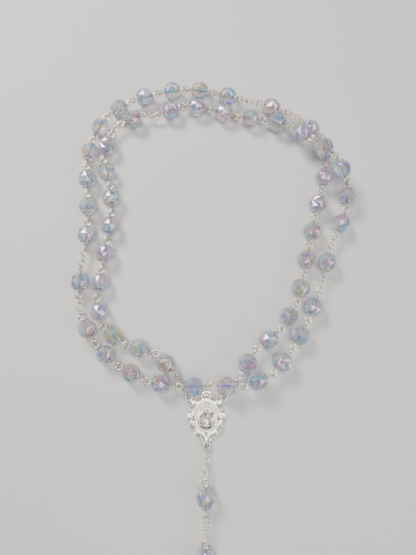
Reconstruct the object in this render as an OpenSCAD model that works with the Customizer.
// Five-decade crystal rosary, laid out flat: a doubled loop of beads on wire pins,
// an openwork centrepiece, and a pendant drop that ends in a crucifix.
// +X is to the right of the centrepiece, +Y runs up into the loop, +Z is up.
// The origin is the middle of the centrepiece's back face, on the surface it lies on.

/* [Beads] */
// Diameter of a crystal bead
bead_d = 8.0; // [7.9:0.05:8.1]
// Length of a bead along its bore, between its end flats
bead_len = 7.5; // [7.2:0.1:7.8]
// Radial clearance between a bead's bore and its pin
bore_gap = 0.08; // [0.05:0.01:0.10]

/* [Pins and links] */
// Wire of the pins' eyes
eye_wire = 0.75; // [0.7:0.05:0.8]
// Straight wire of a pin, inside its bead
stem_wire = 0.7; // [0.6:0.02:0.74]
// Centreline radius of a pin's eye
eye_r = 1.3; // [1.2:0.05:1.35]
// Distance from a bead's middle to the middle of an eye
eye_reach = 5.9; // [5.8:0.1:6.0]
// Wire of a chain link
link_wire = 0.5; // [0.45:0.05:0.55]
// Outside length of a chain link
link_len = 3.6; // [3.5:0.1:3.8]
// Outside width of a chain link
link_w = 2.8; // [2.7:0.1:3.0]

/* [Centrepiece] */
// Width of the openwork plate
plate_w = 15.2; // [14:0.2:16]
// Height of the openwork plate, from the top heart to the foot
plate_h = 20.0; // [19:0.2:21]
// Thickness of the plate
plate_t = 1.2; // [1:0.1:1.6]
// Wire of the three ears
ear_wire = 1.0; // [0.9:0.05:1.1]
// Centreline radius of an ear
ear_r = 1.35; // [1.3:0.05:1.45]
// Width of the oval medallion
medal_w = 9.6; // [9:0.2:10]
// Height of the oval medallion
medal_h = 11.6; // [11:0.2:12]

/* [Crucifix] */
// Height of the cross
cross_h = 42; // [38:1:46]
// Width of the cross
cross_w = 24; // [22:1:27]
// Width of the bars
bar_w = 4.2; // [3.8:0.2:5]
// Thickness of the bars
bar_t = 1.8; // [1.6:0.1:2.2]
// Height of the crossing above the foot, as a share of the whole height
crossing_share = 0.66; // [0.62:0.01:0.70]

/* [Hidden] */
$fn = 32;

// Colours, as the metal and the glass look
CRYSTAL = [0.85, 0.80, 0.92, 0.75];
WIRE = [0.83, 0.81, 0.76];
CASTING = [0.72, 0.70, 0.66];

// Derived sizes
bead_bore = stem_wire + 2 * bore_gap;
link_r = (link_w - link_wire) / 2;
pin_tip = 2 * (eye_reach + eye_r);
link_tip = link_len - link_wire;
ear_z = 1.45;

// Ears of the centrepiece: two for the loop and one for the drop
LEFT_EAR = [-7.4, 8.1, ear_z];
RIGHT_EAR = [7.4, 8.1, ear_z];
FOOT_EAR = [0, -11.2, ear_z];

// Route of the loop from the left ear round to the right ear, chosen by hand. Each row is
// a place on it and the elements that lie between the last named place and this one:
// B is a bead on its pin and L is a link. A row with no elements only shapes the curve.
LOOP = [
    [-8, 8.8, 1.5, ""], [-10.8, 12.8, 1.7, ""], [-12.4, 16.4, 3.3, "LLLL"],
    [-22, 26.2, 4.7, "B"], [-34.6, 29.6, 4, "B"], [-44.4, 37.6, 4, "B"],
    [-46.8, 50.8, 4, "B"], [-45.2, 62.6, 4, "B"],
    [-42.4, 87.6, 4, "BB"], [-43.4, 100, 4, "B"], [-46.2, 112.4, 4, "B"], [-43.6, 124.6, 4, "B"],
    [-39.4, 130, 4, "LLL"], [-28.2, 134.4, 4, "B"],
    [-25, 133.6, 3.4, ""], [-22, 134.6, 4, "LLL"],
    [-10.4, 138.6, 4, "B"], [1.8, 137.2, 4, "B"], [14, 134, 4, "B"], [26.2, 132, 4, "B"],
    [38.2, 128, 6, "B"], [46.8, 119.6, 10.6, "B"], [55.6, 110.8, 12.4, "B"],
    [62.2, 100.4, 7, "B"], [61.8, 88.4, 4, "B"], [57, 77, 4, "B"],
    [54.2, 71.2, 4, "LLL"], [50.8, 58.9, 4, "B"],
    [48.8, 52, 4, "LLL"], [43.4, 39.6, 4, "B"], [36.8, 28, 4, "B"],
    [27, 17.8, 4.6, "B"], [15, 13.6, 7, "B"], [1.4, 13.6, 5.4, "B"], [-12, 12.6, 4.8, "B"],
    [-25.4, 14.8, 4, "B"], [-37.8, 20.6, 4, "B"], [-48, 29.6, 4, "B"], [-54.2, 41.6, 4, "B"],
    [-55.2, 49.4, 4, "LLL"], [-54.4, 63.4, 4, "B"],
    [-53.2, 71, 4, "LLL"], [-52.2, 84, 4, "B"], [-53.2, 97, 4, "B"], [-54, 110, 4, "B"],
    [-51.8, 122.8, 4, "B"], [-45.8, 134, 4, "B"], [-35, 141.4, 4, "B"],
    [-22.4, 145.8, 4, "B"], [-9.6, 147.6, 4, "B"], [3.4, 145.8, 4, "B"], [16.2, 142.4, 4, "B"],
    [23.6, 140.8, 4, "LLL"], [36.4, 136.4, 4, "B"], [43.2, 132, 4, "LLL"],
    [52.2, 123, 4, "B"], [54.8, 110.6, 4, "B"], [51.6, 98, 4, "B"], [48, 85.4, 4, "B"],
    [45.2, 72.6, 4, "B"], [42.4, 60.2, 4, "B"],
    [39.2, 47.6, 4, "B"], [32.4, 36.6, 4, "B"], [22.6, 27.6, 5, "B"],
    [13.8, 16.4, 3, "B"], [12.8, 14, 1.6, ""], [10.8, 11.2, 1.5, ""], [8, 8.7, 1.5, "LLLL"]
];

// Junctions that keep their places: the four on the line that the loop can fold along,
// and the one where the right ear's chain goes under the lower row
HELD = [9, 35, 52, 78, 82];

// Route of the drop, straight down from the centrepiece's foot to the ring of the cross
DROP = [
    [0, -12, 1.5, ""], [0, -18, 2.6, ""], [0, -24, 4, "LLLLL"], [0, -37.2, 4, "B"],
    [0, -42, 3.8, ""], [0, -46.8, 4, "LLLL"], [0, -86.2, 4, "BBB"], [0, -93.4, 4, "LLL"],
    [0, -106.6, 4, "B"], [0, -110, 2.2, ""], [0, -113.2, 1.5, "LLL"]
];
CROSS_TOP = [0, -114.05, ear_z];

// Subdivisions of a route between two of its chosen points
ROUTE_STEPS = 10;
// Turn between neighbouring loops, and the turn in the chain that reaches the right ear
TURN = 90;
RIGHT_TURN = 72;
RIGHT_CHAIN = 4;
// Play left between two loops, from nearly taut to pushed together: of beads and of links
BEAD_PLAY = [0.13, 0.88];
LINK_PLAY = [0.08, 0.55];
// Spacing between the middles of beads that lie side by side
BEAD_SPACING = 8.4;
// Height up to which a place chosen on the route is a floor for the strand
FLOOR_TOP = 9;
// Rounds of settling the strand
ROUNDS = 160;

// Catmull-Rom curve through p1 and p2
function spline(p0, p1, p2, p3, t) =
    0.5 * (2 * p1 + (p2 - p0) * t + (2 * p0 - 5 * p1 + 4 * p2 - p3) * t * t
        + (3 * p1 - p0 - 3 * p2 + p3) * t * t * t);

// Place of a route's row, without its elements
function spot(row) = [row.x, row.y, row.z];

// Smooth run of points between a route's row i and the next one
function smooth_span(route, i) =
    let (last = len(route) - 1)
    [for (j = [0:ROUTE_STEPS])
        spline(spot(route[max(i - 1, 0)]), spot(route[i]), spot(route[i + 1]),
            spot(route[min(i + 2, last)]), j / ROUTE_STEPS)];

// Smooth run of points from row i to the row where the next elements end
function stretch_run(route, i) =
    len(route[i + 1][3]) > 0 ? smooth_span(route, i)
        : concat(smooth_span(route, i), stretch_run(route, i + 1));

// Distance along a run to each of its points
function distances(run) =
    [for (i = 0, s = 0; i < len(run);
        s = s + (i + 1 < len(run) ? norm(run[i + 1] - run[i]) : 0), i = i + 1) s];

// Point of a run at a share of its length
function run_point(run, share) =
    let (marks = distances(run), distance = share * marks[len(run) - 1])
    [for (axis = [0:2]) lookup(distance, [for (i = [0:len(run) - 1]) [marks[i], run[i][axis]]])];

// Rows of a route that a stretch of elements starts from
function stretch_starts(route) =
    [for (i = [0:len(route) - 2]) if (i == 0 || len(route[i][3]) > 0) i];

// Elements of the stretch that starts from row i
function stretch_kinds(route, i) =
    len(route[i + 1][3]) > 0 ? route[i + 1][3] : stretch_kinds(route, i + 1);

function total(list) = [for (value = list) 1] * list;
function tip_length(kind) = kind == "B" ? pin_tip : link_tip;
function end_wire(kind) = kind == "B" ? eye_wire : link_wire;
function play(kind) = kind == "B" ? BEAD_PLAY : LINK_PLAY;

// Junctions of a route before settling: each stretch is shared by its elements' lengths
function first_junctions(route) =
    concat([spot(route[0])], [for (i = stretch_starts(route))
        let (run = stretch_run(route, i), kinds = stretch_kinds(route, i))
        let (lengths = [for (kind = kinds) tip_length(kind) - end_wire(kind)])
        for (k = [0:len(kinds) - 1])
            run_point(run, total([for (j = [0:k]) lengths[j]]) / total(lengths))]);

// Half of the way that two places must move for their distance to come within its limits
function pull(from, to, limits) =
    let (gap = norm(to - from))
    (to - from) * (gap - min(max(gap, limits[0]), limits[1])) / gap / 2;

// Move of a bead's middle away from the beads that crowd it, but for its neighbours
function push(middles, i) =
    total(concat([[0, 0, 0]], [for (other = middles)
        if (abs(other[0] - middles[i][0]) > 1)
            let (way = middles[i][1] - other[1], gap = norm(way))
            if (gap < BEAD_SPACING) way * (BEAD_SPACING - gap) / gap / 4]));

// Junctions settled so that each element fits between its own and no beads overlap
function settled(places, kinds, limits, floors, held, rounds) =
    rounds == 0 ? places :
        let (count = len(kinds))
        let (pulls = [for (i = [0:count - 1]) pull(places[i], places[i + 1], limits[i])])
        let (middles = [for (i = [0:count - 1])
            if (kinds[i] == "B") [i, (places[i] + places[i + 1]) / 2]])
        let (beads = [for (i = [0:len(middles) - 1]) middles[i][0]])
        let (pushes = [for (i = [0:len(middles) - 1]) push(middles, i)])
        let (shares = [for (i = [0:count - 1]) kinds[i] == "B"
            ? pushes[search(i, beads)[0]] : [0, 0, 0]])
        let (moved = [for (i = [0:count])
            i == 0 || i == count || len(search(i, held)) > 0 ? places[i] :
                let (place = places[i] + pulls[i] - pulls[i - 1] + shares[i] + shares[i - 1])
                [place.x, place.y, max(place.z, floors[i])]])
        settled(moved, kinds, limits, floors, held, rounds - 1);

// Turn about its own line that an element adds to the next one's roll
function turn_after(kinds, i, right_chain) =
    (kinds[i] == "B" ? TURN : 0)
        + (i + 1 >= len(kinds) - right_chain ? RIGHT_TURN : TURN);

// Places of a route's elements: each is [kind, middle, azimuth, elevation, roll]
function strand_places(route, held = [], right_chain = 0) =
    let (kinds = [for (row = route) each [for (kind = row[3]) kind]], count = len(kinds))
    let (wires = concat([ear_wire], [for (kind = kinds) end_wire(kind)], [ear_wire]))
    let (limits = [for (i = [0:count - 1])
        let (taut = tip_length(kinds[i]) - (wires[i] + 2 * wires[i + 1] + wires[i + 2]) / 4)
        [taut - play(kinds[i])[1], taut - play(kinds[i])[0]]])
    let (start = first_junctions(route))
    let (floors = [for (place = start) min(place.z, FLOOR_TOP)])
    let (ends = settled(start, kinds, limits, floors, held, ROUNDS))
    let (rolls = [for (i = 0, r = TURN; i < count; r = r + turn_after(kinds, i, right_chain),
        i = i + 1) r])
    [for (i = [0:count - 1])
        let (way = ends[i + 1] - ends[i])
        [kinds[i], (ends[i] + ends[i + 1]) / 2, atan2(way.y, way.x),
            atan2(way.z, norm([way.x, way.y])), rolls[i]]];

function pick(places, first, last) = [for (i = [first:last]) places[i]];
function of_kind(places, kind) = [for (place = places) if (place[0] == kind) place];

loop = strand_places(LOOP, HELD, RIGHT_CHAIN);
drop = strand_places(DROP);

// Stands its children along an element's own line
module at_place(place) {
    translate(place[1])
        rotate([0, -place[3], place[2]])
            rotate([place[4], 0, 0])
                children();
}

// Ring of round wire, flat in XY
module ring(radius, wire) {
    rotate_extrude()
        translate([radius, 0])
            circle(d = wire);
}

// A bead: a round crystal with a flat at each end of its bore
module bead() {
    color(CRYSTAL)
        rotate([0, 90, 0])
            rotate_extrude()
                intersection() {
                    circle(d = bead_d);
                    translate([bead_bore / 2, -bead_len / 2])
                        square([bead_d, bead_len]);
                }
}

// A pin: one straight wire with an eye at each end, the second turned a quarter
module pin() {
    stem_len = 2 * (eye_reach - eye_r);
    color(WIRE) {
        rotate([0, 90, 0])
            cylinder(d = stem_wire, h = stem_len, center = true);
        translate([-eye_reach, 0, 0])
            ring(eye_r, eye_wire);
        translate([eye_reach, 0, 0])
            rotate([90, 0, 0])
                ring(eye_r, eye_wire);
    }
}

// A chain link: a closed loop of round wire with straight sides
module link() {
    straight = link_tip - 2 * link_r;
    color(WIRE) {
        for (side = [0, 180])
            rotate([0, 0, side]) {
                translate([straight / 2, 0, 0])
                    rotate([0, 0, -90])
                        rotate_extrude(angle = 180)
                            translate([link_r, 0])
                                circle(d = link_wire);
                translate([0, link_r, 0])
                    rotate([0, 90, 0])
                        cylinder(d = link_wire, h = straight, center = true);
            }
    }
}

module beads(places) {
    for (place = of_kind(places, "B"))
        at_place(place)
            bead();
}

module pins(places) {
    for (place = of_kind(places, "B"))
        at_place(place)
            pin();
}

module links(places) {
    for (place = of_kind(places, "L"))
        at_place(place)
            link();
}

// Points of an oval
function oval(width, height, count = 48) =
    [for (i = [0:count - 1]) [width / 2 * cos(360 * i / count), height / 2 * sin(360 * i / count)]];

// Heart outline with its point at the bottom
module heart_outline(size) {
    translate([0, size * 0.45])
        rotate(45)
            square(size * 0.62, center = true);
    for (side = [-1, 1])
        translate([side * size * 0.22, size * 0.67])
            circle(d = size * 0.62);
}

// Sizes of the centrepiece's ornament
HEART = 3.2;
SCALLOPS = 14;
SCALLOP_D = 2.6;
SLOT_W = 1.1;
SLOT_LEN = 2.4;
RIM_W = 0.9;
RIM_H = 0.9;
RELIEF_H = 0.5;

module plate_outline() {
    polygon(oval(plate_w - 1.6, plate_h - 4));
    for (i = [0:SCALLOPS - 1])
        translate([(plate_w - 2.6) / 2 * cos(360 * i / SCALLOPS),
            (plate_h - 4.6) / 2 * sin(360 * i / SCALLOPS)])
            circle(d = SCALLOP_D);
    translate([0, plate_h / 2 - 2.6])
        heart_outline(HEART);
    for (side = [-1, 1])
        translate([side * (plate_w / 2 - 1.4), -1.6])
            heart_outline(HEART);
    polygon([[-3, -plate_h / 2 + 3], [3, -plate_h / 2 + 3], [1.2, -plate_h / 2], [-1.2, -plate_h / 2]]);
}

// The eight pierced slots between the medallion and the edge
module slots() {
    for (turn = [-67, -38, 38, 67], side = [0, 180])
        rotate(turn + side)
            translate([turn == 38 || turn == -38 ? 7.0 : 7.9, 0])
                square([SLOT_W, SLOT_LEN], center = true);
}

// Ear ring with a short lug that runs in to the plate
module ear(place, inward) {
    translate(place)
        ring(ear_r, ear_wire);
    translate([place.x, place.y, ear_z])
        rotate([0, 0, inward])
            translate([ear_r, -ear_wire / 2, -ear_z])
                cube([2.2, ear_wire, ear_z + 0.2]);
}

// The relief: a haloed half figure in a robe, built of plain solids
module relief() {
    base = plate_t + RELIEF_H;
    translate([0, 0, plate_t - 0.1])
        linear_extrude(RELIEF_H + 0.1)
            polygon(oval(medal_w - 2 * RIM_W, medal_h - 2 * RIM_W));
    translate([0, 2.1, base - 0.1])
        cylinder(r = 1.9, h = 0.35);
    translate([0, 2.0, base])
        intersection() {
            sphere(r = 1.1);
            translate([-2, -2, 0])
                cube(4);
        }
    translate([0, 0, base - 0.1])
        linear_extrude(0.75)
            polygon([[-1.1, 1.1], [1.1, 1.1], [2.6, -0.4], [2.9, -2.6], [2, -3.7], [-2, -3.7],
                [-2.9, -2.6], [-2.6, -0.4]]);
}

module centrepiece() {
    color(CASTING) {
        linear_extrude(plate_t)
            difference() {
                plate_outline();
                slots();
            }
        translate([0, 0, plate_t - 0.1])
            linear_extrude(RIM_H + 0.1)
                difference() {
                    polygon(oval(medal_w, medal_h));
                    polygon(oval(medal_w - 2 * RIM_W, medal_h - 2 * RIM_W));
                }
        relief();
        ear(LEFT_EAR, -50);
        ear(RIGHT_EAR, -130);
        ear(FOOT_EAR, 90);
    }
}

// Where the bars cross, above the foot of the cross
cross_top_y = CROSS_TOP.y - ear_r - 0.3;
cross_foot_y = cross_top_y - cross_h;
crossing_y = cross_foot_y + cross_h * crossing_share;
FLARE = 1.7;
FLARE_LEN = 3;
PLAQUE_W = 5;
PLAQUE_H = 2.2;

// Flared end of a bar, pointing along +Y with its tip at the origin
module bar_end() {
    polygon([[-bar_w / 2, -FLARE_LEN - 1], [bar_w / 2, -FLARE_LEN - 1], [bar_w / 2, -FLARE_LEN],
        [bar_w / 2 * FLARE, -0.8], [0, 0], [-bar_w / 2 * FLARE, -0.8], [-bar_w / 2, -FLARE_LEN]]);
}

module cross() {
    color(CASTING) {
        linear_extrude(bar_t) {
            translate([-bar_w / 2, cross_foot_y + 1])
                square([bar_w, cross_h - 2]);
            translate([-cross_w / 2 + 1, crossing_y - bar_w / 2])
                square([cross_w - 2, bar_w]);
            translate([0, cross_top_y])
                bar_end();
            translate([0, cross_foot_y])
                rotate(180)
                    bar_end();
            for (side = [-1, 1])
                translate([side * cross_w / 2, crossing_y])
                    rotate(-90 * side)
                        bar_end();
        }
        translate([0, crossing_y + 8.4, bar_t])
            cube([PLAQUE_W, PLAQUE_H, 0.8], center = true);
        translate(CROSS_TOP)
            ring(ear_r, ear_wire);
    }
}

// Sizes of the figure on the cross: its joints swell a little past its limbs and stand just off
// the front of the bars
JOINT_SWELL = 0.12;
STAND_OFF = JOINT_SWELL / 2 + 0.02;
HEAD_D = 2.9;
CHEST_D = 3.2;
WAIST_D = 2.4;
HIP_D = 3.6;
THIGH_D = 2.6;
SHIN_D = 1.9;
ANKLE_D = 1.4;
SHOULDER_D = 1.7;
HAND_D = 1.3;
REACH = 9.6;

// Place on the front of the cross, at a distance above the crossing, of a limb that thick
function on_front(x, up, thickness) = [x, crossing_y + up, bar_t + STAND_OFF + thickness / 2];

// Round limb between two places, with a ball at its far end
module limb(from, to, d_from, d_to) {
    way = to - from;
    translate(from)
        rotate([0, 90 - atan2(way.z, norm([way.x, way.y])), atan2(way.y, way.x)])
            cylinder(d1 = d_from, d2 = d_to, h = norm(way));
    translate(to)
        sphere(d = d_to + JOINT_SWELL);
}

module corpus() {
    neck = on_front(0, 2.4, CHEST_D);
    waist = on_front(0, -4.6, WAIST_D);
    hips = on_front(0, -7.2, HIP_D);
    knees = on_front(0.5, -13, THIGH_D);
    feet = on_front(0, -18.6, ANKLE_D);
    color(CASTING) {
        translate(on_front(0.4, 3.4, HEAD_D))
            sphere(d = HEAD_D);
        limb(neck, waist, CHEST_D, WAIST_D);
        limb(waist, hips, WAIST_D, HIP_D);
        limb(hips, knees, THIGH_D, SHIN_D);
        limb(knees, feet, SHIN_D, ANKLE_D);
        for (side = [-1, 1])
            limb(on_front(side, 0.8, SHOULDER_D), on_front(side * REACH, 1.6, HAND_D),
                SHOULDER_D, HAND_D);
    }
}

centrepiece();
links(pick(loop, 0, 3));  // left_ear_chain
pins(pick(loop, 4, 8));  // decade_1_lower_pins
beads(pick(loop, 4, 8));  // decade_1_lower_beads
pins(pick(loop, 9, 13));  // decade_1_upper_pins
beads(pick(loop, 9, 13));  // decade_1_upper_beads
links(pick(loop, 14, 16));  // chain_before_father_1
pins([loop[17]]);  // father_1_pin
beads([loop[17]]);  // father_1_bead
links(pick(loop, 18, 20));  // chain_after_father_1
pins(pick(loop, 21, 30));  // decade_2_pins
beads(pick(loop, 21, 30));  // decade_2_beads
links(pick(loop, 31, 33));  // chain_before_father_2
pins([loop[34]]);  // father_2_pin
beads([loop[34]]);  // father_2_bead
links(pick(loop, 35, 37));  // chain_after_father_2
pins(pick(loop, 38, 47));  // decade_3_pins
beads(pick(loop, 38, 47));  // decade_3_beads
links(pick(loop, 48, 50));  // chain_before_father_3
pins([loop[51]]);  // father_3_pin
beads([loop[51]]);  // father_3_bead
links(pick(loop, 52, 54));  // chain_after_father_3
pins(pick(loop, 55, 64));  // decade_4_pins
beads(pick(loop, 55, 64));  // decade_4_beads
links(pick(loop, 65, 67));  // chain_before_father_4
pins([loop[68]]);  // father_4_pin
beads([loop[68]]);  // father_4_bead
links(pick(loop, 69, 71));  // chain_after_father_4
pins(pick(loop, 72, 77));  // decade_5_upper_pins
beads(pick(loop, 72, 77));  // decade_5_upper_beads
pins(pick(loop, 78, 81));  // decade_5_lower_pins
beads(pick(loop, 78, 81));  // decade_5_lower_beads
links(pick(loop, 82, 85));  // right_ear_chain
for (i = [0:4])
    links([drop[i]]);
pins([drop[5]]);  // drop_father_pin
beads([drop[5]]);  // drop_father_bead
for (i = [6:9])
    links([drop[i]]);
for (i = [1:3]) {
    pins([drop[9 + i]]);
    beads([drop[9 + i]]);
}
for (i = [10:12])
    links([drop[i + 3]]);
pins([drop[16]]);  // last_father_pin
beads([drop[16]]);  // last_father_bead
for (i = [1:3])
    links([drop[16 + i]]);
cross();
corpus();
